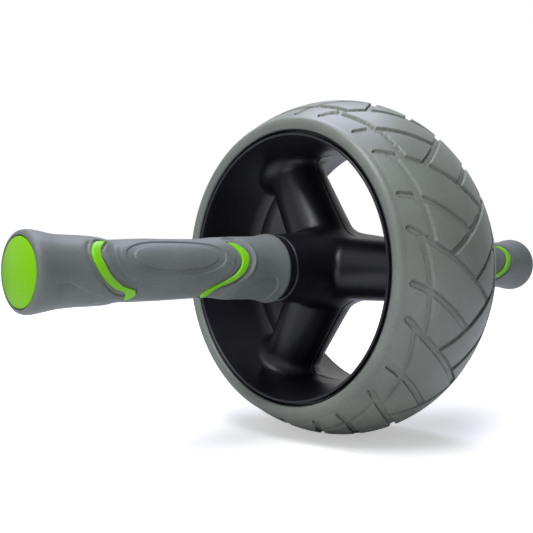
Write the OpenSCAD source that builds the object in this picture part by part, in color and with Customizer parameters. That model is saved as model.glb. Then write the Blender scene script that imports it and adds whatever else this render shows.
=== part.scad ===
// Ab wheel roller: one wide crowned wheel on a fixed axle, with a handle at each end.
// The axle lies along Y through the wheel's centre, +Z is up and the wheel turns about Y.
// Left is the -Y end. Each paired piece is drawn at +Y and mirrored for the left side.

/* [Tyre] */
// Diameter of the tyre at the middle of its crown
tyre_d = 195; // [185:1:215]
// Width of the wheel from bead to bead
wheel_w = 86; // [84:1:96]
// Drop of the crown from its middle to the tread's shoulder
crown_drop = 14.6; // [10:0.2:16]
// Power of the crown's curve, 2 for a parabola
crown_power = 1.8; // [1.6:0.1:2.4]
// Distance from the tread's shoulder in to the bead's plane
shoulder_in = 1.7; // [1:0.1:3]
// Height of the bare side wall between shoulder and bead
side_h = 6.1; // [4:0.1:7]
// Width of the groove between tyre and rim
bead_gap = 0.9; // [0.5:0.1:1.4]
// Depth of the groove between tyre and rim
bead_gap_depth = 3; // [1:0.5:4]

/* [Tread] */
// Number of times that the tread's pattern repeats
tread_repeats = 12; // [8:1:12]
// Width of the slanted grooves
groove_w = 3.8; // [2:0.1:4.4]
// Depth of the slanted grooves
groove_depth = 1.8; // [1:0.1:2.5]
// Width of the grooves that run round the tyre
ring_groove_w = 3.0; // [2:0.1:3.6]
// Depth of the grooves that run round the tyre
ring_groove_depth = 1.1; // [0.6:0.1:1.6]
// Distance from the wheel's middle plane to the grooves' blind ends
groove_start = 36.5; // [34:0.5:37]

/* [Wheel core] */
// Thickness of the barrel under the tyre at the wheel's middle plane
barrel_mid_t = 9.6; // [6:0.2:14]
// Thickness of the barrel at its mouth
barrel_mouth_t = 2.4; // [1.6:0.1:4]
// Distance from the barrel's mouth in to the bead's plane
mouth_in = 2.1; // [1.5:0.1:4]
// Number of spokes
spoke_count = 3; // [3:1:4]
// Turn of the first spoke from +X at rest
spoke_turn = -1.5; // [-10:0.5:10]
// Diameter that the tapered spoke would have at the axle
spoke_root_d = 38.6; // [34:0.2:42]
// Diameter of the spoke where it meets the barrel
spoke_tip_d = 31.6; // [26:0.2:33]
// Wall of the hollow spoke
spoke_wall = 3; // [2:0.1:4]
// Diameter of the hub's belly at the wheel's middle plane
belly_d = 50; // [46:0.5:54]
// Distance from the middle plane to where the belly ends
belly_y = 26; // [22:0.5:30]
// Diameter of the hub there
hub_neck_d = 40.6; // [39:0.2:44]
// Diameter of the hub at its ends
hub_end_d = 37; // [35:0.2:40]
// Length of the hub
hub_len = 97; // [92:1:110]

/* [Core screws] */
// Distance from the axle to the screws that join the two halves
screw_at = 46; // [42:1:52]
// Diameter of those screws
screw_d = 4; // [3:0.5:5]
// Length of those screws under the head
screw_len = 18; // [14:1:20]
// Diameter of their heads
screw_head_d = 7.4; // [6.5:0.2:8]
// Height of their heads
screw_head_h = 2.6; // [2:0.1:3.5]

/* [Bearings] */
// Diameter of the axle
axle_d = 12; // [10:0.5:12]
// Outer diameter of the bearings
bearing_d = 28; // [26:1:30]
// Width of the bearings
bearing_w = 8; // [7:0.5:9]
// Number of balls in a bearing
ball_count = 8; // [6:1:9]
// Diameter of the balls
ball_d = 4.76; // [4:0.02:5]
// Distance from the hub's end in to the bearing
bearing_in = 4.5; // [3:0.5:8]
// Wall of the spacer between the two bearings
spacer_wall = 2; // [1:0.1:2.4]

/* [Handles] */
// Length of the roller over its end caps
overall_len = 400; // [390:1:430]
// Radius of the grip at the middle of the palm
palm_r = 14.9; // [14:0.1:17]
// Radius of the grip's flared outer end
flare_r = 18.5; // [18:0.1:20]
// Radius of the grip's inner end
inner_end_r = 18.7; // [18.2:0.1:20]
// Thickness of the rubber over the hard core
rubber_t = 2.9; // [2:0.1:3.2]
// Gap between the hub's end and the collar
hub_gap = 0.5; // [0.3:0.1:1]
// Length of the collar that shows between hub and grip
collar_len = 3.7; // [3:0.1:8]
// Diameter of the collar
collar_d = 35.2; // [32:0.2:37]

/* [End caps] */
// Diameter of the end cap
cap_d = 31.4; // [29:0.2:32]
// Thickness of the end cap's disc
cap_t = 3.6; // [2.5:0.1:4.5]
// Gap between the end cap and the grip's lip
cap_gap = 0.4; // [0.3:0.1:1]
// Height that the cap stands proud of the grip's lip
cap_proud = 0.3; // [0:0.1:1.5]
// Depth of the pocket for screw and washer behind the cap
pocket_depth = 10.4; // [9.5:0.1:12]
// Diameter of the screw in the axle's end
end_screw_d = 6; // [5:0.5:6]
// Length of that screw under its head
end_screw_len = 22; // [14:1:26]
// Diameter of the washer under that screw
washer_d = 18; // [14:0.5:20]
// Thickness of that washer
washer_t = 1.6; // [1:0.1:2]

/* [Hidden] */
$fn = 96;

rubber_grey = [0.42, 0.44, 0.43];
core_black = [0.08, 0.08, 0.09];
band_green = [0.42, 0.74, 0.12];
steel_grey = [0.72, 0.73, 0.75];

// Clearances
axle_fit = 0.05;
ball_fit = 0.07;
screw_fit = 0.02;
cap_fit = 0.05;
head_room = 0.3;
cut = 1;

// Tyre and rim, as distances from the axle (r) and from the middle plane (y)
tyre_r = tyre_d / 2;
half_w = wheel_w / 2;
shoulder_y = half_w - shoulder_in;
shoulder_r = tyre_r - crown_drop;
bead_r = shoulder_r - side_h;
seat_r = bead_r - bead_gap;
mouth_y = half_w - mouth_in;
mouth_r = seat_r - barrel_mouth_t;
barrel_r = seat_r - barrel_mid_t;
lip_y = mouth_y + barrel_mouth_t / 2;
lip_edge = 0.5;
crown_steps = 6;

function crown_r(y) = tyre_r - crown_drop * pow(abs(y) / shoulder_y, crown_power);

// Turns an outline of [r, y] points about the axle
module about_axle() {
    rotate([-90, 0, 0]) rotate_extrude() children();
}

// Draws its children at +Y, or mirrored to -Y for the left side
module on_side(side) {
    mirror([0, side == "left" ? 1 : 0, 0]) children();
}

// A ring or disc about the axle from one distance along it to another
module ring(outer_r, inner_r, from, to) {
    about_axle() translate([inner_r, from]) square([outer_r - inner_r, to - from]);
}

// Ends of the slanted grooves: angle round the tyre in degrees and distance from the middle plane.
// The angles are for 12 repeats, and keep their share of the pitch with any other number.
pitch_share = 12 / tread_repeats;
short_groove = [[0, -groove_start], [-13.2, -2]];
long_groove = [[-11.8, -groove_start], [-36.8, 18]];
// The far half of the tread is the near half mirrored and turned by half a pitch
mirror_turn = 180 / tread_repeats;
tread_phase = 25.7;
ring_groove_y = 29;

// A point of the tread in the plane that lies square to the wheel's radius at a given angle
function on_tread(angle, y, middle) = [crown_r(y) * sin(angle - middle), y];

// One straight groove with a round blind start, cut towards the axle
module groove(ends) {
    angles = [for (e = ends) e[0] * pitch_share];
    middle = (angles[0] + angles[1]) / 2;
    start = on_tread(angles[0], ends[0][1], middle);
    run = on_tread(angles[1], ends[1][1], middle) - start;
    rotate([0, -middle, 0]) translate([seat_r, 0, 0])
    rotate([90, 0, 90]) linear_extrude(tyre_r) translate(start) {
        circle(d = groove_w, $fn = 24);
        rotate(atan2(run[1], run[0])) translate([0, -groove_w / 2]) square([norm(run), groove_w]);
    }
}

module half_tread() {
    groove(short_groove);
    groove(long_groove);
}

module slanted_grooves() {
    for (i = [0:tread_repeats - 1]) rotate([0, -(tread_phase + i * 360 / tread_repeats), 0]) {
        half_tread();
        mirror([0, 1, 0]) rotate([0, -mirror_turn, 0]) half_tread();
    }
}

function crown(depth) =
    [for (i = [-crown_steps:crown_steps]) let (y = shoulder_y * i / crown_steps) [crown_r(y) - depth, y]];

// What a groove of the given depth leaves of the tyre
module tread_floor(depth) {
    about_axle() polygon(concat([[seat_r, -shoulder_y]], crown(depth), [[seat_r, shoulder_y]]));
}

bead_y = half_w - bead_gap_depth;
side_r = bead_r + side_h * 2 / 3;
bead_side = [[side_r, half_w], [bead_r, half_w], [bead_r, bead_y], [seat_r, bead_y]];
bead_far_side = [for (i = [3:-1:0]) [bead_side[i][0], -bead_side[i][1]]];

module tyre() color(rubber_grey) difference() {
    about_axle() polygon(concat(bead_far_side, crown(0), bead_side));
    difference() {
        slanted_grooves();
        tread_floor(groove_depth);
    }
    for (s = [-1, 1]) difference() {
        ring(tyre_r, seat_r, s * ring_groove_y - ring_groove_w / 2, s * ring_groove_y + ring_groove_w / 2);
        tread_floor(ring_groove_depth);
    }
}

// Half of the wheel's core. Both halves meet at the middle plane.
spoke_root_r = spoke_root_d / 2;
spoke_tip_r = spoke_tip_d / 2;
spoke_end = seat_r - barrel_mid_t / 2;
function spoke_r(at) = spoke_root_r + (spoke_tip_r - spoke_root_r) * at / spoke_end;
spoke_hollow_from = belly_d / 2 + spoke_wall;
spoke_hollow_to = barrel_r - spoke_wall;

module at_spokes() {
    for (i = [0:spoke_count - 1]) rotate([0, -(spoke_turn + i * 360 / spoke_count), 0]) children();
}

module spoke(from, to, thinner) {
    translate([from, 0, 0]) rotate([0, 90, 0])
        cylinder(h = to - from, r1 = spoke_r(from) - thinner, r2 = spoke_r(to) - thinner);
}

module barrel_outline() {
    polygon([
        [barrel_r, 0], [mouth_r, mouth_y],
        [seat_r - lip_edge, lip_y], [seat_r, lip_y - lip_edge], [seat_r, 0]
    ]);
}

bearing_r = bearing_d / 2;
bearing_to = hub_len / 2 - bearing_in;
bearing_from = bearing_to - bearing_w;
shoulder_lap = 1.8;
boss_wall = 2;
boss_r = screw_head_d / 2 + boss_wall;
head_y = spoke_r(screw_at) / 2;
neck_r = hub_neck_d / 2;
belly_steps = 5;
belly = [for (i = [belly_steps:-1:0]) let (t = i / belly_steps)
    [neck_r + (belly_d / 2 - neck_r) * (1 + cos(180 * t)) / 2, belly_y * t]];

module hub_outline() {
    polygon(concat([
        [bearing_r - shoulder_lap, 0], [bearing_r - shoulder_lap, bearing_from], [bearing_r, bearing_from],
        [bearing_r, hub_len / 2],
        [hub_end_d / 2 - lip_edge, hub_len / 2], [hub_end_d / 2, hub_len / 2 - lip_edge]
    ], belly));
}

// Keeps the +Y half of what it is given
module half_space() {
    translate([-tyre_r, 0, -tyre_r]) cube([tyre_d, wheel_w, tyre_d]);
}

module screw_place() {
    at_spokes() translate([screw_at, 0, 0]) rotate([-90, 0, 0]) children();
}

module rim_half() {
    difference() {
        union() {
            about_axle() barrel_outline();
            intersection() {
                at_spokes() difference() {
                    spoke(0, spoke_end, 0);
                    spoke(spoke_hollow_from, spoke_hollow_to, spoke_wall);
                }
                half_space();
            }
            screw_place() cylinder(r = boss_r, h = spoke_r(screw_at) - spoke_wall / 2);
            about_axle() hub_outline();
        }
        ring(bearing_r - shoulder_lap, 0, -cut, bearing_from + cut);
        ring(bearing_r, 0, bearing_from, hub_len / 2 + cut);
        children();
    }
}

module screw_hole(depth) {
    translate([0, 0, -cut]) cylinder(d = screw_d + 2 * screw_fit, h = depth + 2 * cut);
}

module left_rim_half() color(core_black) mirror([0, 1, 0]) rim_half()
    screw_place() screw_hole(screw_len - head_y);

module right_rim_half() color(core_black) rim_half() screw_place() {
    screw_hole(head_y);
    translate([0, 0, head_y]) cylinder(d = screw_head_d + 2 * head_room, h = wheel_w);
}

module core_screws() color(steel_grey) screw_place() {
    translate([0, 0, head_y - screw_len]) cylinder(d = screw_d, h = screw_len + screw_head_h / 2);
    translate([0, 0, head_y]) cylinder(d = screw_head_d, h = screw_head_h);
}

// Ball bearings: the races share a pitch circle half-way between axle and pocket
axle_r = axle_d / 2;
bore_r = axle_r + axle_fit;
pitch_r = (bearing_r + axle_r) / 2;
ball_r = ball_d / 2;
race_gap = 1.4;
bearing_mid = bearing_from + bearing_w / 2;
cage_t = 1.2;
cage_rim = 0.5;
cage_w = ball_d + 2 * cage_rim;

module raceway() {
    about_axle() translate([pitch_r, bearing_mid]) circle(r = ball_r + ball_fit, $fn = 48);
}

module ball_places() {
    for (i = [0:ball_count - 1]) rotate([0, i * 360 / ball_count, 0])
        translate([pitch_r, bearing_mid, 0]) children();
}

module outer_race() color(steel_grey) difference() {
    ring(bearing_r, pitch_r + race_gap, bearing_from, bearing_to);
    raceway();
}

module inner_race() color(steel_grey) difference() {
    ring(pitch_r - race_gap, bore_r, bearing_from, bearing_to);
    raceway();
}

module balls() color(steel_grey) ball_places() sphere(r = ball_r, $fn = 32);

module cage() color(core_black) difference() {
    ring(pitch_r + cage_t / 2, pitch_r - cage_t / 2, bearing_mid - cage_w / 2, bearing_mid + cage_w / 2);
    ball_places() rotate([0, 90, 0]) cylinder(r = ball_r + ball_fit, h = 2 * cage_t, center = true);
}

// Distances along the handle, from the wheel's middle plane
cap_face = overall_len / 2;
cap_back = cap_face - cap_t;
grip_tip = cap_face - cap_proud;
pocket_floor = cap_back - pocket_depth;
collar_from = hub_len / 2 + hub_gap;
grip_from = collar_from + collar_len;
axle_short = 0.5;
axle_end = pocket_floor - axle_short;
cap_r = cap_d / 2;
lip_inner_r = cap_r + cap_gap;
flange_t = 5;
flange_slope = 2;

module axle() color(steel_grey) difference() {
    ring(axle_r, 0, -axle_end, axle_end);
    for (s = [0, 1]) mirror([0, s, 0])
        ring(end_screw_d / 2 + screw_fit, 0, axle_end - end_screw_len, axle_end + cut);
}

module bearing_spacer() color(steel_grey) ring(bore_r + spacer_wall, bore_r, -bearing_from, bearing_from);

module collar() color(core_black) {
    ring(pitch_r - race_gap, bore_r, bearing_to, collar_from + cut);
    ring(collar_d / 2, bore_r, collar_from, grip_from);
}

// Outline of the grip: each point is a share of the grip's length from its inner end, and a radius
grip_len = grip_tip - grip_from;
grip_points = [
    [0.000, inner_end_r - 1.7], [0.005, inner_end_r - 0.5], [0.011, inner_end_r - 0.1],
    [0.020, inner_end_r], [0.033, inner_end_r - 0.4], [0.050, inner_end_r - 0.9],
    [0.080, inner_end_r - 1.6], [0.120, palm_r + 1.8], [0.188, palm_r + 1.5], [0.257, palm_r + 0.95],
    [0.316, palm_r + 0.55], [0.405, palm_r + 0.1], [0.484, palm_r], [0.563, palm_r + 0.1],
    [0.622, palm_r + 0.05], [0.676, palm_r - 0.2], [0.691, palm_r - 0.15], [0.716, palm_r + 0.5],
    [0.750, palm_r + 1.0], [0.809, palm_r + 1.3], [0.868, palm_r + 1.6], [0.908, palm_r + 2.0],
    [0.937, flare_r - 0.9], [0.962, flare_r - 0.2], [0.980, flare_r], [0.990, flare_r - 0.35],
    [1.000, flare_r - 1.2]
];
function grip_r_at(share) =
    let (i = max([for (k = [0:len(grip_points) - 2]) if (grip_points[k][0] <= share) k]))
    let (a = grip_points[i], b = grip_points[i + 1])
    a[1] + (b[1] - a[1]) * (share - a[0]) / (b[0] - a[0]);

core_to = cap_back - flange_t;
core_points = [
    for (p = grip_points) let (y = grip_from + p[0] * grip_len) if (y < core_to - flange_slope)
        [p[1] - rubber_t, y]
];
core_end_r = min(lip_inner_r, grip_r_at((core_to - grip_from) / grip_len) - rubber_t);

module grip_outline() {
    polygon(concat(
        [[bore_r + cut, grip_from]],
        [for (p = grip_points) [p[1], grip_from + p[0] * grip_len]],
        [[lip_inner_r, grip_tip], [lip_inner_r, cap_back], [bore_r + cut, cap_back]]
    ));
}

module core_outline() {
    polygon(concat(
        [[bore_r, grip_from]], core_points,
        [[core_end_r, core_to], [lip_inner_r, core_to], [lip_inner_r, cap_back], [bore_r, cap_back]]
    ));
}

// The green bands are raised parts of the core. Each edge is two cubic curves through
// [distance from the palm's middle, height above the axle] in millimetres.
function curve(p, t) =
    pow(1 - t, 3) * p[0] + 3 * pow(1 - t, 2) * t * p[1] + 3 * (1 - t) * pow(t, 2) * p[2] + pow(t, 3) * p[3];
curve_steps = 6;
function curve_points(p) = [for (i = [0:curve_steps - 1]) curve(p, i / curve_steps)];

palm_mid = grip_from + grip_len / 2;
band_tip = [35.2, 13.7];
band_outer_top = [band_tip, [42.0, 14.0], [45.8, 10.5], [45.8, 6.1]];
band_outer_low = [[45.8, 6.1], [45.8, -4.5], [24.6, -6.0], [24.5, -13.0]];
band_inner_low = [[20.6, -13.0], [17.2, -7.5], [26.9, -7.9], [33.4, -3.9]];
band_inner_top = [[33.4, -3.9], [40.9, 0.8], [43.4, 9.0], band_tip];
band_from_x = 7;

module band_outline() {
    polygon(concat(
        curve_points(band_outer_top), curve_points(band_outer_low), [band_outer_low[3]],
        curve_points(band_inner_low), curve_points(band_inner_top)
    ));
}

// Prisms of the outer and inner band on both faces of the grip
module band_prisms() {
    for (face = [0, 1], end = [0, 1]) mirror([face, 0, 0])
        translate([band_from_x, palm_mid, 0]) mirror([0, end, 0])
            rotate([90, 0, 90]) linear_extrude(flare_r) band_outline();
}

module handle_core() color(band_green) difference() {
    union() {
        about_axle() core_outline();
        intersection() {
            band_prisms();
            about_axle() grip_outline();
        }
    }
    ring(bore_r, 0, grip_from - cut, cap_back + cut);
    ring(cap_skirt_r + cap_fit, 0, pocket_floor, cap_back + cut);
}

module grip() color(rubber_grey) difference() {
    about_axle() grip_outline();
    about_axle() core_outline();
    ring(bore_r + 2 * cut, 0, grip_from - cut, cap_back);
    band_prisms();
}

module end_washer() color(steel_grey)
    ring(washer_d / 2, end_screw_d / 2 + screw_fit, pocket_floor, pocket_floor + washer_t);

end_screw_head_h = 4;
end_screw_head_r = 5.75;
module end_screw() color(steel_grey) {
    ring(end_screw_d / 2, 0, axle_end - end_screw_len + washer_t, pocket_floor + washer_t + cut);
    translate([0, pocket_floor + washer_t, 0]) rotate([-90, 0, 0])
        cylinder(r = end_screw_head_r, h = end_screw_head_h, $fn = 6);
}

cap_skirt_room = 1.2;
cap_skirt_t = 1.4;
cap_skirt_inner_r = washer_d / 2 + cap_skirt_room;
cap_skirt_r = cap_skirt_inner_r + cap_skirt_t;
cap_edge = 0.5;
cap_skirt_len = 4.5;
module end_cap() color(band_green) about_axle() polygon([
    [0, cap_back], [cap_skirt_inner_r, cap_back], [cap_skirt_inner_r, cap_back - cap_skirt_len],
    [cap_skirt_r, cap_back - cap_skirt_len], [cap_skirt_r, cap_back], [cap_r, cap_back],
    [cap_r, cap_face - cap_edge], [cap_r - cap_edge, cap_face], [0, cap_face]
]);

tyre();
left_rim_half();
right_rim_half();
core_screws();
on_side("left") outer_race();  // left_outer_race
outer_race();  // right_outer_race
on_side("left") balls();  // left_balls
balls();  // right_balls
on_side("left") cage();  // left_cage
cage();  // right_cage
axle();
bearing_spacer();
on_side("left") inner_race();  // left_inner_race
inner_race();  // right_inner_race
on_side("left") collar();  // left_collar
collar();  // right_collar
on_side("left") handle_core();  // left_handle_core
handle_core();  // right_handle_core
on_side("left") grip();  // left_grip
grip();  // right_grip
on_side("left") end_washer();  // left_end_washer
end_washer();  // right_end_washer
on_side("left") end_screw();  // left_end_screw
end_screw();  // right_end_screw
on_side("left") end_cap();  // left_end_cap
end_cap();  // right_end_cap
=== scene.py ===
"""Ab wheel roller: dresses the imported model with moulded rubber, plastic and steel.

Pieces are made in millimetres, and add_piece turns them to metres. Angles are in degrees.
An angle round the axle starts at +X and grows towards +Z, y lies along the axle, and a radius is
measured from it. The left handle lies towards -Y, near the camera. Handles, core halves and side
walls are given at +Y and mirrored.
"""
import math

import bpy
import numpy as np
import openvdb
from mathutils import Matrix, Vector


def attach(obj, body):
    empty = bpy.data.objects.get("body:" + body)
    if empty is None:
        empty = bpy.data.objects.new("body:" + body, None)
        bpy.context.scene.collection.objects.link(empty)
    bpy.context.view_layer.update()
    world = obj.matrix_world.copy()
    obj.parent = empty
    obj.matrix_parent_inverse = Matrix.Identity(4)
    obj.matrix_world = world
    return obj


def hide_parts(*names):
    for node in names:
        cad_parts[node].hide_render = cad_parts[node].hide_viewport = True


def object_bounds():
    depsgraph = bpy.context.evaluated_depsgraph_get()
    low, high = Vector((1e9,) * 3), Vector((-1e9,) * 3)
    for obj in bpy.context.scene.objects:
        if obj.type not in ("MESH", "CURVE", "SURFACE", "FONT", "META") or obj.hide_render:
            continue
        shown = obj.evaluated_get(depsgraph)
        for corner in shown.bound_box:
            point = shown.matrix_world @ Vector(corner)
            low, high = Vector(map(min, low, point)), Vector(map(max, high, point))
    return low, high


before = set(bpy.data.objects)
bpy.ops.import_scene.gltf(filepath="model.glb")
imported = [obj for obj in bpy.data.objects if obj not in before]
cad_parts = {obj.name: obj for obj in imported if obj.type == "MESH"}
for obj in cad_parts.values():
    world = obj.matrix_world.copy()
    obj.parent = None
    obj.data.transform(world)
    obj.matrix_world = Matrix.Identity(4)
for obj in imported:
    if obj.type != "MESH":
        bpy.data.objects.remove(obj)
cad_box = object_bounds()
SIDES = {"left": -1, "right": 1}


# Meshes

# Angle between two faces from which their edge shows as sharp
SHARP_FROM = 55


def smooth_step(t):
    """From zero to one with a soft start and end, as t goes from zero to one."""
    t = np.clip(t, 0, 1)
    return t * t * (3 - 2 * t)


def smooth_curve(points, steps):
    """Points on a curve through all the given ones, with so many steps between two of them."""
    p = np.array(points, float)
    p = np.vstack([2 * p[0] - p[1], p, 2 * p[-1] - p[-2]])
    curve = []
    for a, b, c, d in zip(p, p[1:], p[2:], p[3:]):
        for t in np.arange(steps) / steps:
            square = 2 * a - 5 * b + 4 * c - d
            cube = 3 * b - a - 3 * c + d
            curve.append(0.5 * (2 * b + (c - a) * t + square * t**2 + cube * t**3))
    curve.append(p[-2])
    return np.array(curve)


def along_path(u, v, path):
    """Distance to a path, positive on the left of its run, and how far along the nearest place is."""
    runs = np.diff(path, axis=0)
    starts = np.concatenate([[0], np.cumsum(np.hypot(*runs.T))])
    off = np.full(u.shape, 1e9)
    share = np.zeros(u.shape)
    for (start_u, start_v), (run_u, run_v), before in zip(path, runs, starts):
        length = math.hypot(run_u, run_v)
        along = np.clip(((u - start_u) * run_u + (v - start_v) * run_v) / length**2, 0, 1)
        to_u = u - start_u - along * run_u
        to_v = v - start_v - along * run_v
        distance = np.hypot(to_u, to_v)
        nearer = distance < np.abs(off)
        off = np.where(nearer, np.copysign(distance, run_u * to_v - run_v * to_u), off)
        share = np.where(nearer, (before + along * length) / starts[-1], share)
    return off, share


def around_axle(angle, y, radius):
    """Points in x, y and z from angle, distance along the axle and radius."""
    turn = np.radians(angle)
    return np.stack(np.broadcast_arrays(radius * np.cos(turn), y, radius * np.sin(turn)), axis=-1)


def grid_faces(rows, columns, closed_rows=False, closed_columns=False):
    """Quads between the points of a grid, joined end to start where it is closed."""
    index = np.arange(rows * columns).reshape(rows, columns)
    if closed_rows:
        index = np.vstack([index, index[:1]])
    if closed_columns:
        index = np.hstack([index, index[:, :1]])
    quads = np.stack([index[:-1, :-1], index[:-1, 1:], index[1:, 1:], index[1:, :-1]], axis=-1)
    return quads.reshape(-1, 4)


def facing_out(points, quads):
    """The quads of a closed shell, turned over where needed so that their fronts face outwards."""
    a, b, c, d = (points[corner] for corner in quads.T)
    volume = np.sum(a * (np.cross(b, c) + np.cross(c, d)))
    return quads if volume > 0 else quads[:, [0, 3, 2, 1]]


def add_piece(name, shells, material, body, replaced):
    """One object from closed shells of (points in millimetres, quads), riding on a body."""
    points = []
    quads = []
    count = 0
    for shell_points, shell_quads in shells:
        flat = np.asarray(shell_points, float).reshape(-1, 3)
        points.append(flat)
        quads.append(facing_out(flat, np.asarray(shell_quads)) + count)
        count += len(flat)
    quads = np.vstack(quads)
    mesh = bpy.data.meshes.new(name)
    mesh.vertices.add(count)
    mesh.vertices.foreach_set("co", (np.vstack(points) / 1000).ravel())
    mesh.loops.add(quads.size)
    mesh.loops.foreach_set("vertex_index", quads.ravel())
    mesh.polygons.add(len(quads))
    mesh.polygons.foreach_set("loop_start", np.arange(len(quads)) * 4)
    mesh.polygons.foreach_set("use_smooth", np.ones(len(quads), bool))
    mesh.update(calc_edges=True)
    mesh.validate()
    mesh.set_sharp_from_angle(angle=math.radians(SHARP_FROM))
    mesh.materials.append(material)
    piece = bpy.data.objects.new(name, mesh)
    bpy.context.scene.collection.objects.link(piece)
    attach(piece, body)
    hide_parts(*replaced)


def revolve(outline, steps):
    """A closed ring of (y, radius) points turned about the axle."""
    outline = np.array(outline, float)
    angles = np.arange(steps) * 360 / steps
    points = around_axle(angles[:, None], outline[None, :, 0], outline[None, :, 1])
    return points, grid_faces(steps, len(outline), True, True)


# Materials

def add_node(tree, kind, inputs=None, **settings):
    """Adds a shader node. An input is a value, or a link when it is a (node, output) pair."""
    node = tree.nodes.new(kind)
    for key, value in settings.items():
        setattr(node, key, value)
    for key, value in (inputs or {}).items():
        if isinstance(value, tuple) and isinstance(value[0], bpy.types.Node):
            tree.links.new(value[0].outputs[value[1]], node.inputs[key])
        else:
            node.inputs[key].default_value = value
    return node


def linear(hex_colour):
    """An sRGB hex colour as linear RGBA."""
    parts = [int(hex_colour[i : i + 2], 16) / 255 for i in (1, 3, 5)]
    return tuple(c / 12.92 if c <= 0.04045 else ((c + 0.055) / 1.055) ** 2.4 for c in parts) + (1.0,)


def new_material(name):
    """An empty material with a principled shader on its output."""
    material = bpy.data.materials.new(name)
    material.use_nodes = True
    tree = material.node_tree
    tree.nodes.clear()
    shader = add_node(tree, "ShaderNodeBsdfPrincipled")
    add_node(tree, "ShaderNodeOutputMaterial", {"Surface": (shader, "BSDF")})
    return material, tree, shader


def per_metre(size_mm):
    """Scale of a noise whose blobs have this size."""
    return 1000 / size_mm


# Size of the faint clouds that the flow of a moulding leaves in its colour
CLOUD_MM = 22
# Share of the grain in the mix of clouds and grain
GRAIN_SHARE = 0.45
# Levels of the mix between which the colour and the roughness change
DARK_LEVEL = 0.36
LIGHT_LEVEL = 0.64
SMOOTH_LEVEL = 0.3
ROUGH_LEVEL = 0.7


def moulded(name, light, dark, grain_mm, relief_mm, roughness, spread, ior):
    """A moulded finish: colour clouds, a fine spark-eroded grain and a roughness that follows both."""
    material, tree, shader = new_material(name)
    place = add_node(tree, "ShaderNodeTexCoord")
    clouds = add_node(
        tree,
        "ShaderNodeTexNoise",
        {"Vector": (place, "Object"), "Scale": per_metre(CLOUD_MM), "Detail": 3.0},
    )
    grain = add_node(
        tree,
        "ShaderNodeTexNoise",
        {"Vector": (place, "Object"), "Scale": per_metre(grain_mm), "Detail": 2.0},
    )
    both = add_node(
        tree,
        "ShaderNodeMix",
        {"Factor": GRAIN_SHARE, "A": (clouds, "Fac"), "B": (grain, "Fac")},
        data_type="FLOAT",
    )
    tone = add_node(tree, "ShaderNodeValToRGB", {"Fac": (both, "Result")})
    tone.color_ramp.elements[0].position = DARK_LEVEL
    tone.color_ramp.elements[0].color = linear(dark)
    tone.color_ramp.elements[1].position = LIGHT_LEVEL
    tone.color_ramp.elements[1].color = linear(light)
    rough = add_node(
        tree,
        "ShaderNodeMapRange",
        {
            "Value": (both, "Result"),
            "From Min": SMOOTH_LEVEL,
            "From Max": ROUGH_LEVEL,
            "To Min": roughness - spread,
            "To Max": roughness + spread,
        },
    )
    bump = add_node(
        tree,
        "ShaderNodeBump",
        {"Height": (grain, "Fac"), "Strength": 1.0, "Distance": relief_mm / 1000},
    )
    tree.links.new(tone.outputs["Color"], shader.inputs["Base Color"])
    tree.links.new(rough.outputs["Result"], shader.inputs["Roughness"])
    tree.links.new(bump.outputs["Normal"], shader.inputs["Normal"])
    shader.inputs["IOR"].default_value = ior
    return material


# The tyre's thermoplastic rubber, spark-eroded mould: olive grey, with a broad sheen where light grazes it
tyre_rubber = moulded(
    "thermoplastic_rubber",
    light="#7b8078", dark="#6d726b", grain_mm=0.9, relief_mm=0.08, roughness=0.39, spread=0.05, ior=1.53,
)
# The grips' softer rubber, moulded with a shallower grain: cooler grey and more matt
grip_rubber = moulded(
    "grip_rubber",
    light="#6f7573", dark="#616765", grain_mm=0.8, relief_mm=0.04, roughness=0.48, spread=0.06, ior=1.5,
)
# Polypropylene in black, spark-eroded mould: deep black with soft satin reflections
core_plastic = moulded(
    "black_polypropylene",
    light="#14141c", dark="#0c0c12", grain_mm=0.7, relief_mm=0.02, roughness=0.36, spread=0.05, ior=1.49,
)
# ABS in leaf green, polished mould: strong colour with a clear highlight along the bands
band_plastic = moulded(
    "green_abs",
    light="#80d118", dark="#78c715", grain_mm=1.4, relief_mm=0.008, roughness=0.30, spread=0.04, ior=1.4,
)
# The same ABS with an etched face: the cap's disc shows an even colour and mirrors little of the studio
cap_plastic = moulded(
    "green_abs_matt",
    light="#84ce12", dark="#7cc40f", grain_mm=0.7, relief_mm=0.01, roughness=0.34, spread=0.04, ior=1.22,
)

# Radians that a wave texture's phase gains over one unit at scale 1
WAVE_RADIANS = 20
# How far the rings' roughness falls below the mean and rises over it, and their height
RING_SMOOTHER = 0.05
RING_ROUGHER = 0.08
RING_HEIGHT_MM = 0.02


def steel(name, colour, roughness, radian_mm):
    """Turned or ground steel: bright metal with fine rings round the axle, 2 pi times radian_mm apart."""
    material, tree, shader = new_material(name)
    place = add_node(tree, "ShaderNodeTexCoord")
    rings = add_node(
        tree,
        "ShaderNodeTexWave",
        {
            "Vector": (place, "Object"),
            "Scale": per_metre(radian_mm) / WAVE_RADIANS,
            "Distortion": 1.5,
            "Detail": 2.0,
        },
        bands_direction="Y",
    )
    rough = add_node(
        tree,
        "ShaderNodeMapRange",
        {"Value": (rings, "Fac"), "To Min": roughness - RING_SMOOTHER, "To Max": roughness + RING_ROUGHER},
    )
    bump = add_node(
        tree,
        "ShaderNodeBump",
        {"Height": (rings, "Fac"), "Strength": 0.4, "Distance": RING_HEIGHT_MM / 1000},
    )
    shader.inputs["Base Color"].default_value = linear(colour)
    shader.inputs["Metallic"].default_value = 1.0
    tree.links.new(rough.outputs["Result"], shader.inputs["Roughness"])
    tree.links.new(bump.outputs["Normal"], shader.inputs["Normal"])
    return material


# Ground steel of axle and spacer: bright, with fine rings that stretch the highlight along it
ground_steel = steel("ground_steel", "#c4c5c8", roughness=0.28, radian_mm=0.4)
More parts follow.
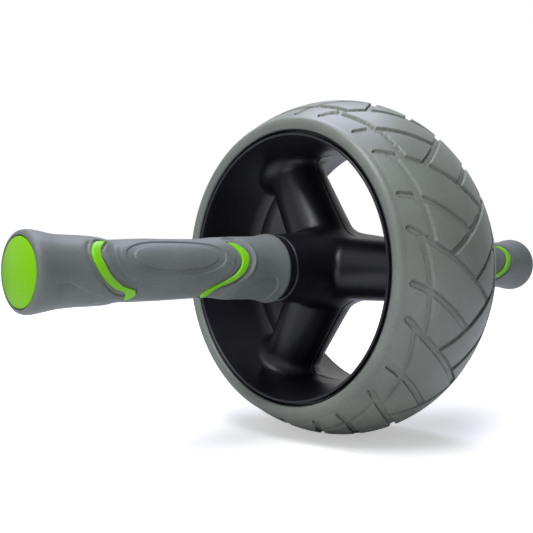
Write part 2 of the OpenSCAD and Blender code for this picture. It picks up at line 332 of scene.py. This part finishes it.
# Polished bearing steel: paler and nearly a mirror
bearing_steel = steel("polished_bearing_steel", "#d2d3d6", roughness=0.16, radian_mm=0.5)
# Zinc-plated steel of screws and washers: pale and a little hazy
zinc_steel = steel("zinc_plated_steel", "#c9ccd0", roughness=0.34, radian_mm=0.6)


def give_finish(node, finish):
    """Puts a finish on a CAD solid that stays as it is."""
    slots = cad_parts[node].data.materials
    slots.clear()
    slots.append(finish)


# Finishes of the CAD solids that stay, first of those that both sides have
SIDE_FINISHES = {
    "collar": core_plastic,
    "end_washer": zinc_steel,
    "end_screw": zinc_steel,
    "inner_race": bearing_steel,
    "outer_race": bearing_steel,
    "balls": bearing_steel,
    "cage": core_plastic,
}
MIDDLE_FINISHES = {
    "axle": ground_steel,
    "bearing_spacer": ground_steel,
    "core_screws": zinc_steel,
}
for side in SIDES:
    for part, finish in SIDE_FINISHES.items():
        give_finish(f"{side}_{part}", finish)
for node, finish in MIDDLE_FINISHES.items():
    give_finish(node, finish)


# Tyre

# The tread's crown: radius in the middle, drop at the shoulder, power of the curve and the shoulder's y
CROWN_R = 97.45
CROWN_DROP = 14.05
CROWN_POWER = 2
SHOULDER_Y = 41.3
# Where the crown's curve gives way to the side wall
CROWN_END_Y = 39.6
# Radius of the tyre's seat on the rim
SEAT_R = 75.95
# The side wall as (y, radius), from the crown over its bulge and down into the rim's groove
SIDE_WALL = [
    (40.6, 84.1), (41.7, 83.5), (42.5, 82.7), (43.0, 81.7), (43.2, 80.6), (43.1, 79.5), (42.85, 78.5),
    (42.4, 77.6), (41.8, 77.1), (41.0, 76.95), (38.1, 76.9), (38.0, SEAT_R),
]
# Repeats of the tread's pattern round the tyre, their pitch and the turn of the first one
REPEATS = 12
PITCH = 360 / REPEATS
TREAD_PHASE = 25.7
# A groove's width and depth, the width of its steep walls and the rise of its floor in the middle
GROOVE_W = 3.6
GROOVE_DEPTH = 1.9
WALL_W = 0.4
FLOOR_CROWN = 0.55
# Depth and half width of the parting line that the mould leaves round the crown
PARTING_DEPTH = 0.1
PARTING_HALF_W = 0.45
# Points of the mesh round one pitch, and across the crown
PITCH_STEPS = 150
CROWN_POINTS = 241

# Grooves of the near half of the tread as (angle, y), starting from a short groove's blind end
SHORT_GROOVE = [(0, -36.4), (-3.1, -26), (-7.9, -14.6), (-14, -0.6)]
LONG_GROOVE = [(-12.1, -36.4), (-17.5, -26), (-24.7, -9.2), (-31.7, 6.3), (-36.2, 17)]
RING_GROOVE = [(-15.5, -31.8), (-26, -29.2), (-35, -27.6), (-46, -26.3)]


def crown_r(y):
    """Radius of the crown between the grooves."""
    return CROWN_R - CROWN_DROP * (np.abs(y) / SHOULDER_Y) ** CROWN_POWER


def groove_relief(angle, y, path):
    """Depth at (angle, y) of one groove along a path, with steep walls and a crowned floor."""
    path = smooth_curve(path, steps=5)
    middle = path[:, 0].mean()
    turn = (angle - middle + 180) % 360 - 180
    arc = np.radians(turn) * crown_r(y)
    path_arc = np.radians(path[:, 0] - middle) * crown_r(path[:, 1])
    off = np.abs(along_path(arc, y, np.stack([path_arc, path[:, 1]], axis=1))[0])
    floor = GROOVE_DEPTH - FLOOR_CROWN * (1 - np.clip(2 * off / GROOVE_W, 0, 1) ** 4)
    return floor * smooth_step((GROOVE_W / 2 + WALL_W / 2 - off) / WALL_W)


def tread_relief(angle, y):
    """Depth of all grooves over one pitch of the tread, with those that reach in from its neighbours."""
    relief = np.zeros(np.broadcast(angle, y).shape)
    for step in range(-2, 3):
        for mirrored, turned in ((1, 0), (-1, PITCH / 2)):
            start = TREAD_PHASE + turned + step * PITCH
            for path in (SHORT_GROOVE, LONG_GROOVE, RING_GROOVE):
                placed = [(a + start, mirrored * b) for a, b in path]
                relief = np.maximum(relief, groove_relief(angle, y, placed))
    return relief


def tyre_shell():
    """The whole tyre: near side wall, grooved crown, far side wall and the seat between them."""
    near_wall = [(-y, r) for y, r in reversed(SIDE_WALL)]
    crown_y = np.linspace(-CROWN_END_Y, CROWN_END_Y, CROWN_POINTS)
    angle = np.arange(PITCH_STEPS)[:, None] * PITCH / PITCH_STEPS
    relief = tread_relief(angle, crown_y[None, :])
    parting_line = PARTING_DEPTH * np.exp(-((crown_y / PARTING_HALF_W) ** 2))
    crown = crown_r(crown_y)[None, :] - np.maximum(parting_line[None, :], relief)
    crown = np.tile(crown, (REPEATS, 1))
    rows = REPEATS * PITCH_STEPS
    before = np.tile([r for _, r in near_wall], (rows, 1))
    after = np.tile([r for _, r in SIDE_WALL], (rows, 1))
    radius = np.hstack([before, crown, after])
    y = np.concatenate([[y for y, _ in near_wall], crown_y, [y for y, _ in SIDE_WALL]])
    angles = np.arange(rows)[:, None] * 360 / rows
    return around_axle(angles, y[None, :], radius), grid_faces(rows, len(y), True, True)


add_piece("tyre_tread", [tyre_shell()], tyre_rubber, "wheel", ["tyre"])


# Wheel core

# Half of the seam between the two rim halves
HALF_GAP = 0.12
SPOKES = 3
# Turn of the first spoke from +X
SPOKE_TURN = -1.5
# Half thickness and half width of a spoke, as (distance from the axle, size)
SPOKE_HALF_T = ((0, 19.2), (40, 17.4), (70, 16.0))
SPOKE_HALF_W = ((0, 23.5), (30, 20.0), (70, 17.0))
# How far a spoke reaches past the axle
SPOKE_BACK = 4
# The hub as (y, radius)
HUB_END_Y = 48.5
HUB = ((0, 22.8), (14, 22), (20, 21.2), (26, 20.4), (34, 19.8), (HUB_END_Y, 18.5))
# The barrel inside: radius at the middle plane, and radius and y at its mouth
BARREL_R = 66.3
MOUTH_R = 73.5
MOUTH_Y = 40.9
# Cosine of the barrel's slope
BARREL_SLOPE = 0.985
# Fillets in the corners where the second and the third spoke meet those before them
CORNER_FILLETS = (4, 7)
# Fillet between spokes and hub, and between both of them and the barrel
HUB_FILLET = 3.5
BARREL_FILLET = 9
# How far under the barrel's surface its fillets run out, and how deep they still go
FILLET_RUN_OUT = 0.15
FILLET_SINK = 3
# Distance from spokes and hub at which the fillets end
FILLET_END = 14
# Size of a voxel, and the distance from the surface up to which the voxels hold a value
VOXEL = 0.8
VOXEL_BAND = 3 * VOXEL
# How far the voxels reach round the axle, and past the ends of a core half
VOXEL_REACH = 73
VOXEL_MARGIN = 2
# One half's barrel as (y, radius): inner surface, lip, groove, thin outer lip and the seat of the tyre. The
# thin outer lip is black plastic laid against the tyre's bead wall, so the narrow groove between rim and tyre
# shows black all round: painted shade for the shadow deep in that groove
BARREL = [
    (HALF_GAP, BARREL_R + 0.3), (HALF_GAP + 0.3, BARREL_R + 0.05), (10, 68.06), (20, 69.82), (30, 71.58),
    (40.3, 73.39), (41.6, 73.6), (42.05, 73.8), (42.3, 74.15), (42.35, 74.55), (42.2, 74.95), (41.8, 75.2),
    (38.9, 75.3), (38.9, 76.2), (41.4, 76.3), (41.6, 76.5), (41.5, 76.75), (38.6, 76.8), (38.4, 75.9),
    (HALF_GAP, 75.9),
]


def size_at(place, sizes):
    """A size at some place, between the given (place, size) pairs."""
    return np.interp(place, *zip(*sizes))


def soft_union(a, b, reach):
    """Smallest of two distances, with a fillet where they differ by less than its reach."""
    mix = np.clip(0.5 + 0.5 * (b - a) / reach, 0, 1)
    return b + (a - b) * mix - reach * mix * (1 - mix)


def spoke_distance(x, y, z, number):
    """Distance to the surface of one oval spoke, true near that surface."""
    turn = math.radians(SPOKE_TURN + number * 360 / SPOKES)
    along = x * math.cos(turn) + z * math.sin(turn)
    across = z * math.cos(turn) - x * math.sin(turn)
    half_t = size_at(along, SPOKE_HALF_T)
    half_w = size_at(along, SPOKE_HALF_W)
    level = np.sqrt((across / half_t) ** 2 + (y / half_w) ** 2)
    slope = np.sqrt((across / half_t**2) ** 2 + (y / half_w**2) ** 2)
    spoke = (level - 1) * level / np.maximum(slope, 1e-6)
    return np.where(along > -SPOKE_BACK, spoke, np.maximum(spoke, -SPOKE_BACK - along))


def core_distance(x, y, z):
    """Distance to the surface of the spokes and hub, with their fillets onto the barrel."""
    spokes = spoke_distance(x, y, z, 0)
    for number, reach in enumerate(CORNER_FILLETS, 1):
        spokes = soft_union(spokes, spoke_distance(x, y, z, number), reach)
    radius = np.hypot(x, z)
    hub = radius - size_at(np.abs(y), HUB)
    open_space = (BARREL_R + (MOUTH_R - BARREL_R) * np.abs(y) / MOUTH_Y - radius) * BARREL_SLOPE
    body = soft_union(spokes, hub, HUB_FILLET)
    body = soft_union(body, open_space + FILLET_RUN_OUT, BARREL_FILLET)
    body = np.maximum(body, -open_space - FILLET_SINK)
    return np.maximum(body, np.minimum(spokes, hub) - FILLET_END)


def voxel_shell(distance, low, high):
    """Quads on the surface where a distance is zero, inside a box."""
    axes = [np.arange(a, b + VOXEL, VOXEL) for a, b in zip(low, high)]
    field = distance(*np.meshgrid(*axes, indexing="ij"))
    grid = openvdb.FloatGrid(VOXEL_BAND)
    grid.copyFromArray(np.clip(field, -VOXEL_BAND, VOXEL_BAND).astype(np.float32))
    points, quads = grid.convertToQuads()
    return points * VOXEL + np.array(low), quads


def core_half(sign):
    """The spokes and hub of one rim half, and its barrel."""

    def half(x, y, z):
        cut = np.maximum(HALF_GAP - sign * y, sign * y - HUB_END_Y)
        return np.maximum(core_distance(x, y, z), cut)

    low_y, high_y = sorted((-sign * VOXEL_MARGIN, sign * (HUB_END_Y + VOXEL_MARGIN)))
    spokes = voxel_shell(half, (-VOXEL_REACH, low_y, -VOXEL_REACH), (VOXEL_REACH, high_y, VOXEL_REACH))
    barrel = revolve([(sign * y, r) for y, r in BARREL], steps=256)
    return [spokes, barrel]


for side, sign in SIDES.items():
    shells = core_half(sign)
    add_piece(f"{side}_core_moulding", shells, core_plastic, "wheel", [f"{side}_rim_half"])


# Handles

# Ends of the sleeve along the axle, and the back of the cap's seat in it
GRIP_FROM = 52.7
GRIP_TO = 199.9
CAP_BACK = 196.4
# Radius of the cap, of the lip round it and of the hard core under the rubber
CAP_R = 15.7
LIP_INNER_R = 16.1
CORE_R = 12.0

# The cap as (y, radius), with a rounded edge
CAP = [(195.5, 0.01), (195.5, 15.2), (199.4, CAP_R), (199.8, CAP_R - 0.12), (200, CAP_R - 0.45), (200, 0.01)]
# The sleeve's inside as (y, radius): the lip's rounded edge, the cap's seat and the bore
SLEEVE_INSIDE = [
    (GRIP_TO - 0.1, LIP_INNER_R + 0.25), (GRIP_TO - 0.35, LIP_INNER_R), (CAP_BACK, LIP_INNER_R),
    (CAP_BACK, CORE_R), (GRIP_FROM, CORE_R),
]

# The sleeve outside as (y, radius), on its upper and its lower side
INNER_END = [(52.7, 17.2), (53.0, 17.9), (53.6, 18.5), (54.4, 18.8), (55.4, 18.85)]
OUTER_END = [
    (191, 17.95), (194.5, 18.5), (197, 18.6), (198.4, 18.3), (199.2, 17.8), (199.7, 17.1), (199.9, 16.5),
]
UPPER_PROFILE = smooth_curve(INNER_END + [
    (57.4, 18.5), (60, 18.0), (63, 17.6), (68, 17.25), (73, 17.15), (77, 17.05), (81, 16.95), (85, 16.65),
    (89, 16.5), (93, 16.35), (97, 16.05), (101, 15.7), (107, 15.4), (116, 15.1), (126, 15.0), (137, 15.15),
    (146, 14.95), (151, 14.7), (154.5, 14.55), (157, 14.6), (159.5, 15.2), (163, 15.8), (168, 16.2),
    (174, 16.45), (182, 16.65), (187, 17.15),
] + OUTER_END, steps=5)
LOWER_PROFILE = smooth_curve(INNER_END + [
    (57.4, 18.2), (60, 17.65), (63, 17.1), (68, 16.5), (73, 16.3), (77, 16.2), (81, 16.1), (85, 15.95),
    (89, 15.5), (93, 14.9), (97, 14.5), (101, 14.6), (107, 14.65), (116, 14.8), (126, 15.0), (137, 15.05),
    (146, 15.0), (151, 14.9), (154.5, 15.25), (157, 15.75), (159.5, 16.0), (163, 16.15), (168, 16.3),
    (174, 16.35), (182, 16.75), (187, 17.35),
] + OUTER_END, steps=5)

# Mean radius of the grip, and one degree round it in millimetres for lengths measured over its surface
MEAN_GRIP_R = 15.6
GRIP_ARC = MEAN_GRIP_R * math.pi / 180


def sleeve_r(angle, y):
    """Radius of the sleeve before any panel or groove, y being the distance from the wheel's middle."""
    upper = np.interp(y, *UPPER_PROFILE.T)
    lower = np.interp(y, *LOWER_PROFILE.T)
    lift = np.sin(np.radians(angle))
    return (upper + lower) / 2 + (upper - lower) / 2 * lift


# Edges of the green bands on the handle's front as (y, angle), from the upper tip to the lower end:
# the outer edge of a band's bow, then the inner one
OUTER_BAND = (
    [
        (161.0, 61.0), (166.9, 57.3), (169.3, 50.7), (171.6, 39), (172.35, 24), (170.5, 6.1), (166.9, -11.4),
        (160.8, -28.9), (155.1, -38.5), (152.3, -48), (151.0, -60), (150.7, -69),
    ],
    [
        (160.7, 60.3), (163.1, 52.4), (166.4, 39.3), (167.4, 25.3), (166.2, 11.3), (163.1, -6.1),
        (157.5, -21.9), (152.3, -31.5), (149.2, -34.8), (147.1, -42), (146.8, -54), (150.2, -68.6),
    ],
)
INNER_BAND = (
    [
        (89.9, 58.4), (87, 54.9), (84.5, 49.3), (81.3, 34.6), (80.6, 22), (81.5, 8.7), (84.5, -6.1),
        (90, -20.9), (95.6, -32), (99.6, -43.5), (101.0, -56), (101.4, -66), (102.0, -74),
    ],
    [
        (90.1, 57.9), (88.6, 50.3), (86.3, 34.7), (85.6, 21), (86.8, 5.1), (90.6, -10.6), (96.2, -23.5),
        (101.2, -33.4), (104.2, -42.2), (105.9, -51), (106.2, -60), (105.6, -67), (104.2, -73),
    ],
)
BANDS = (OUTER_BAND, INNER_BAND)
# Points along a band, and across it
BAND_ROWS = 72
BAND_COLUMNS = 13
# How far beside a band its channel reaches, and the width and depth of the channel's wall
CHANNEL_REACH = 0.45
CHANNEL_WALL = 0.35
CHANNEL_DEPTH = 0.9
# How far a band stands out, how far its edges drop and over which width, and the depth of its underside
BAND_RISE = 0.3
BAND_EDGE_DROP = 0.75
BAND_EDGE_W = 0.55
BAND_UNDERSIDE = 2.5

# Steps in the sleeve's front: path as (y, angle), height on the left of its run, width, reach of the rise
LEAF_STEPS = [
    (
        [
            (191, -17.5), (187.5, -14.3), (184, -15.2), (181.1, -20.1), (175.4, -30.6), (168.8, -39.7),
            (164.1, -45.5), (162.6, -51), (162.2, -67), (160.5, -84),
        ],
        -0.5, 0.5, 9,
    ),
    (
        [
            (86, -41), (79, -30), (72.5, -23), (66, -15.5), (63.2, -14), (61.2, -21), (60.1, -32),
            (60.8, -55), (60.2, -80),
        ],
        -0.45, 0.5, 9,
    ),
]
# Soft ridges and hollows in the sleeve's front: path as (y, angle), height, half width
RIDGES = [
    (
        [(96, 74), (86, 71), (82, 66), (78.2, 49), (76.8, 30), (77.4, 12), (81, -8), (88, -24.6), (93, -34)],
        0.95, 1.1,
    ),
    ([(88, 62), (84.3, 56), (80.8, 45), (78.9, 28), (79.5, 9), (83, -9), (89, -23.5), (95, -35)], -0.45, 1.1),
    (
        [
            (166.5, 62), (170.8, 53), (173.2, 41), (174.0, 25), (172.2, 6), (168.3, -12), (162.0, -29.5),
            (156.4, -40), (153.6, -51), (152.2, -66),
        ],
        -0.7, 1.2,
    ),
    ([(160, 60), (162.4, 50), (164.6, 36), (164.8, 22), (163.4, 8)], 0.35, 1.5),
]
# Ovals in the sleeve's front: half length, half height in degrees, height inside, width of the step
PALM_CENTRE = (124.5, 27.0)
PALM_OVALS = [(35, 58, 0.3, 0.5), (32, 47, 0.14, 0.4), (29, 37, -0.6, 0.4), (24.5, 25.4, 0.55, 0.4)]
# Power of the ovals' outline, 2 for an ellipse
OVAL_POWER = 2.2
# Share of a path over which its step or ridge fades at each end
FADE = 0.12


def on_sleeve(points):
    """Points given as (y, angle), in millimetres over the surface."""
    return smooth_curve(points, steps=4) * (1, GRIP_ARC)


def faded(share):
    """One along a path and falling to zero towards both of its ends."""
    return smooth_step(share / FADE) * smooth_step((1 - share) / FADE)


def resampled(points, count):
    """So many evenly spaced points along a smooth curve through the given ones."""
    curve = smooth_curve(points, steps=8)
    length = np.concatenate([[0], np.cumsum(np.hypot(*np.diff(curve, axis=0).T))])
    even = np.linspace(0, length[-1], count)
    return np.stack([np.interp(even, length, curve[:, 0]), np.interp(even, length, curve[:, 1])], axis=1)


def channel(u, v, band):
    """One inside the channel of a green band, zero outside it."""
    outer, inner = (resampled(edge, BAND_ROWS) * (1, GRIP_ARC) for edge in band)
    half = np.hypot(*(outer - inner).T) / 2
    middle = (outer + inner) / 2
    off = np.hypot(u[..., None] - middle[:, 0], v[..., None] - middle[:, 1]) - half
    return smooth_step((CHANNEL_REACH - off.min(axis=-1)) / CHANNEL_WALL)


def front_relief(angle, y):
    """How far the front of the sleeve stands out from its plain shape."""
    v = angle * GRIP_ARC
    relief = np.zeros(angle.shape)
    for path, height, width, reach in LEAF_STEPS:
        off, share = along_path(y, v, on_sleeve(path))
        rise = smooth_step(0.5 + off / width) * np.exp(-np.maximum(off, 0) / reach)
        relief += height * faded(share) * rise
    for path, height, half_w in RIDGES:
        off, share = along_path(y, v, on_sleeve(path))
        relief += height * faded(share) * np.exp(-((off / half_w) ** 2))
    from_mid = np.hypot(y - PALM_CENTRE[0], (angle - PALM_CENTRE[1]) * GRIP_ARC) + 1e-6
    for half_len, half_angle, height, width in PALM_OVALS:
        share_y = np.abs(y - PALM_CENTRE[0]) / half_len
        share_v = np.abs(angle - PALM_CENTRE[1]) / half_angle
        level = (share_y**OVAL_POWER + share_v**OVAL_POWER) ** (1 / OVAL_POWER) + 1e-6
        relief += height * smooth_step(0.5 + from_mid * (1 / level - 1) / width)
    for band in BANDS:
        inside = channel(y, v, band)
        relief = relief * (1 - inside) - CHANNEL_DEPTH * inside
    return relief


# Where the sleeve's rounded inner end stops and its rounded outer end starts
INNER_END_Y = 55.5
OUTER_END_Y = 196.3
# Points round the sleeve's front, and along its inner end, the length between the ends and its outer end
FRONT_POINTS = 221
INNER_END_POINTS = 15
LENGTH_POINTS = 353
OUTER_END_POINTS = 20


def sleeve_relief():
    """Angles and distances of a handle's surface, and its relief: the front face, then its mirror image."""
    front = np.linspace(-90, 90, FRONT_POINTS)
    inner_end = np.linspace(GRIP_FROM, INNER_END_Y, INNER_END_POINTS)
    middle = np.linspace(INNER_END_Y, OUTER_END_Y, LENGTH_POINTS)[1:-1]
    outer_end = np.linspace(OUTER_END_Y, GRIP_TO, OUTER_END_POINTS)
    y = np.concatenate([inner_end, middle, outer_end])
    relief = front_relief(*np.meshgrid(front, y, indexing="ij"))
    angles = np.concatenate([front, 180 - front[-2:0:-1]])
    return angles, y, np.vstack([relief, relief[-2:0:-1]])


SLEEVE_ANGLES, SLEEVE_Y, SLEEVE_RELIEF = sleeve_relief()


def sleeve_shell(sign):
    """The whole sleeve, outside and inside."""
    radius = sleeve_r(SLEEVE_ANGLES[:, None], SLEEVE_Y[None, :]) + SLEEVE_RELIEF
    inner = np.tile([r for _, r in SLEEVE_INSIDE], (len(SLEEVE_ANGLES), 1))
    all_y = np.concatenate([SLEEVE_Y, [y for y, _ in SLEEVE_INSIDE]])
    points = around_axle(SLEEVE_ANGLES[:, None], sign * all_y[None, :], np.hstack([radius, inner]))
    return points, grid_faces(len(SLEEVE_ANGLES), len(all_y), True, True)


def band_shell(sign, band, behind):
    """A crowned strip between the two edges of a band, on the handle's front or behind it."""
    across = np.linspace(0, 1, BAND_COLUMNS)
    outer, inner = (resampled(edge, BAND_ROWS) for edge in band)
    strip = inner[:, None, :] + (outer - inner)[:, None, :] * across[None, :, None]
    y = strip[..., 0]
    angle = strip[..., 1]
    if behind:
        angle = 180 - angle
    width = np.hypot((outer - inner)[:, 0], (outer - inner)[:, 1] * GRIP_ARC)
    to_edge = np.minimum(across, 1 - across)[None, :] * width[:, None]
    crown = BAND_RISE - BAND_EDGE_DROP * (1 - smooth_step(to_edge / BAND_EDGE_W))
    top = sleeve_r(angle, y) + crown
    low = sleeve_r(angle, y) - BAND_UNDERSIDE
    points = np.stack([around_axle(angle, sign * y, top), around_axle(angle, sign * y, low)])
    faces = grid_faces(BAND_ROWS, BAND_COLUMNS)
    under = faces[:, ::-1] + y.size
    index = np.arange(y.size).reshape(y.shape)
    edge = np.concatenate([index[0], index[1:, -1], index[-1, -2::-1], index[-2:0:-1, 0]])
    after = np.roll(edge, -1)
    wall = np.stack([after, edge, edge + y.size, after + y.size], axis=1)
    return points, np.vstack([faces, under, wall])


for side, sign in SIDES.items():
    add_piece(f"{side}_sleeve", [sleeve_shell(sign)], grip_rubber, "handles", [f"{side}_grip"])
    strips = [band_shell(sign, band, behind) for band in BANDS for behind in (False, True)]
    add_piece(f"{side}_bands", strips, band_plastic, "handles", [f"{side}_handle_core"])
    disc = revolve([(sign * y, r) for y, r in CAP], steps=160)
    add_piece(f"{side}_cap_disc", [disc], cap_plastic, "handles", [f"{side}_end_cap"])


# Stage, light and camera, all in metres

# Levels of the world as it lights the object and as the object's gloss shows it
FILL_LEVEL = 0.3
SHINE_LEVEL = 0.7
# Level of the cloth that hangs on one side of the studio, and the direction to it from the object
CLOTH_LEVEL = 0.2
CLOTH_SIDE = (0.97, -0.24, 0.0)
# Cosine of the angle to that side at which the cloth's soft edge starts, and where it is in full
CLOTH_EDGE = -0.5
CLOTH_FULL = 0.4
# The paper's glow near the object and far from it, the distances of both, and the share that gloss shows
NEAR_GLOW = 0.45
FAR_GLOW = 1.0
NEAR_DISTANCE = 0.12
FAR_DISTANCE = 0.5
GLOW_IN_GLOSS = 0.1
# Half of the paper's width
PAPER_REACH = 6
# The camera: its lens in millimetres, its place, its tilt below the level and its turn from +Y towards -X
LENS_MM = 56.28
CAMERA_PLACE = (0.3335, -0.3663, 0.0077)
CAMERA_TILT = 0.838
CAMERA_TURN = 46.905


def by_ray(tree, camera, mirrored, other):
    """The first value for camera rays, the second for glossy and transmitted rays, the third for the rest."""
    path = add_node(tree, "ShaderNodeLightPath")
    mirror = add_node(
        tree,
        "ShaderNodeMath",
        {0: (path, "Is Glossy Ray"), 1: (path, "Is Transmission Ray")},
        operation="MAXIMUM",
    )
    unseen = add_node(
        tree,
        "ShaderNodeMix",
        {"Factor": (mirror, "Value"), "A": other, "B": mirrored},
        data_type="FLOAT",
    )
    level = add_node(
        tree,
        "ShaderNodeMix",
        {"Factor": (path, "Is Camera Ray"), "A": (unseen, "Result"), "B": camera},
        data_type="FLOAT",
    )
    return (level, "Result")


def times(tree, value, share):
    """A share of a node's value."""
    product = add_node(tree, "ShaderNodeMath", {0: value, 1: share}, operation="MULTIPLY")
    return (product, "Value")


def light_world():
    """A pale studio, dimmer towards the cloth, that the camera sees as white."""
    world = bpy.data.worlds.new("studio")
    bpy.context.scene.world = world
    world.use_nodes = True
    tree = world.node_tree
    tree.nodes.clear()
    direction = add_node(tree, "ShaderNodeTexCoord")
    towards = add_node(
        tree,
        "ShaderNodeVectorMath",
        {0: (direction, "Generated"), 1: CLOTH_SIDE},
        operation="DOT_PRODUCT",
    )
    cloth = add_node(
        tree,
        "ShaderNodeMapRange",
        {
            "Value": (towards, "Value"),
            "From Min": CLOTH_EDGE,
            "From Max": CLOTH_FULL,
            "To Min": 1.0,
            "To Max": CLOTH_LEVEL,
        },
        interpolation_type="SMOOTHSTEP",
    )
    fill = times(tree, (cloth, "Result"), FILL_LEVEL)
    shine = times(tree, (cloth, "Result"), SHINE_LEVEL)
    strength = by_ray(tree, 1.0, shine, fill)
    sky = add_node(tree, "ShaderNodeBackground", {"Color": (1, 1, 1, 1), "Strength": strength})
    add_node(tree, "ShaderNodeOutputWorld", {"Surface": (sky, "Background")})


def area_light(name, place, target, size, power, colour):
    """A soft lamp that faces its target."""
    data = bpy.data.lights.new(name, "AREA")
    data.shape = "RECTANGLE"
    data.size, data.size_y = size
    data.energy = power
    data.color = linear(colour)[:3]
    lamp = bpy.data.objects.new(name, data)
    bpy.context.scene.collection.objects.link(lamp)
    lamp.location = place
    aim = np.array(target) - np.array(place)
    tilt = math.atan2(math.hypot(aim[0], aim[1]), -aim[2])
    lamp.rotation_euler = (tilt, 0, math.atan2(aim[1], aim[0]) - math.pi / 2)


def white_paper():
    """Matt white paper that keeps the object's shadow and glows for the camera, more so farther out."""
    paper = bpy.data.materials.new("white_paper")
    paper.use_nodes = True
    tree = paper.node_tree
    tree.nodes.clear()
    matt = add_node(tree, "ShaderNodeBsdfDiffuse", {"Color": linear("#eeeeee")})
    spot = add_node(tree, "ShaderNodeTexCoord")
    distance = add_node(tree, "ShaderNodeVectorMath", {0: (spot, "Object")}, operation="LENGTH")
    glow = add_node(
        tree,
        "ShaderNodeMapRange",
        {
            "Value": (distance, "Value"),
            "From Min": NEAR_DISTANCE,
            "From Max": FAR_DISTANCE,
            "To Min": NEAR_GLOW,
            "To Max": FAR_GLOW,
        },
    )
    # The lamps light the paper nearly to white, so a reflection of it needs little more
    faint = times(tree, (glow, "Result"), GLOW_IN_GLOSS)
    strength = by_ray(tree, (glow, "Result"), faint, 0.0)
    light = add_node(tree, "ShaderNodeEmission", {"Color": (1, 1, 1, 1), "Strength": strength})
    both = add_node(tree, "ShaderNodeAddShader", {0: (matt, "BSDF"), 1: (light, "Emission")})
    add_node(tree, "ShaderNodeOutputMaterial", {"Surface": (both, "Shader")})
    return paper


def lay_floor():
    """A sheet of paper under the object."""
    low = cad_box[0][2]
    corners = [(x * PAPER_REACH, y * PAPER_REACH, low) for x, y in ((-1, -1), (1, -1), (1, 1), (-1, 1))]
    mesh = bpy.data.meshes.new("floor")
    mesh.from_pydata(corners, [], [(0, 1, 2, 3)])
    mesh.materials.append(white_paper())
    floor = bpy.data.objects.new("floor", mesh)
    bpy.context.scene.collection.objects.link(floor)


def place_camera():
    """The camera at the photograph's viewing angle."""
    data = bpy.data.cameras.new("camera")
    data.lens = LENS_MM
    data.sensor_width = 36
    data.clip_start = 0.02
    camera = bpy.data.objects.new("camera", data)
    bpy.context.scene.collection.objects.link(camera)
    camera.location = CAMERA_PLACE
    camera.rotation_euler = (math.radians(90 - CAMERA_TILT), 0, math.radians(CAMERA_TURN))
    bpy.context.scene.camera = camera


light_world()
# The lamps stand above and behind the wheel, low before the near cap, and above the camera's side
area_light("overhead", (-0.29, 0.25, 1.05), (0, 0, 0), (0.7, 0.7), 7.6, "#e0e2ff")
area_light("near_end", (0.22, -1.12, 0.45), (0, -0.05, 0), (0.8, 0.8), 3.3, "#f6f6ff")
area_light("camera_side", (0.24, -0.42, 0.8), (0, -0.05, 0), (0.5, 0.5), 7.8, "#eff1f5")
lay_floor()
place_camera()
bpy.context.scene.view_settings.view_transform = "Standard"
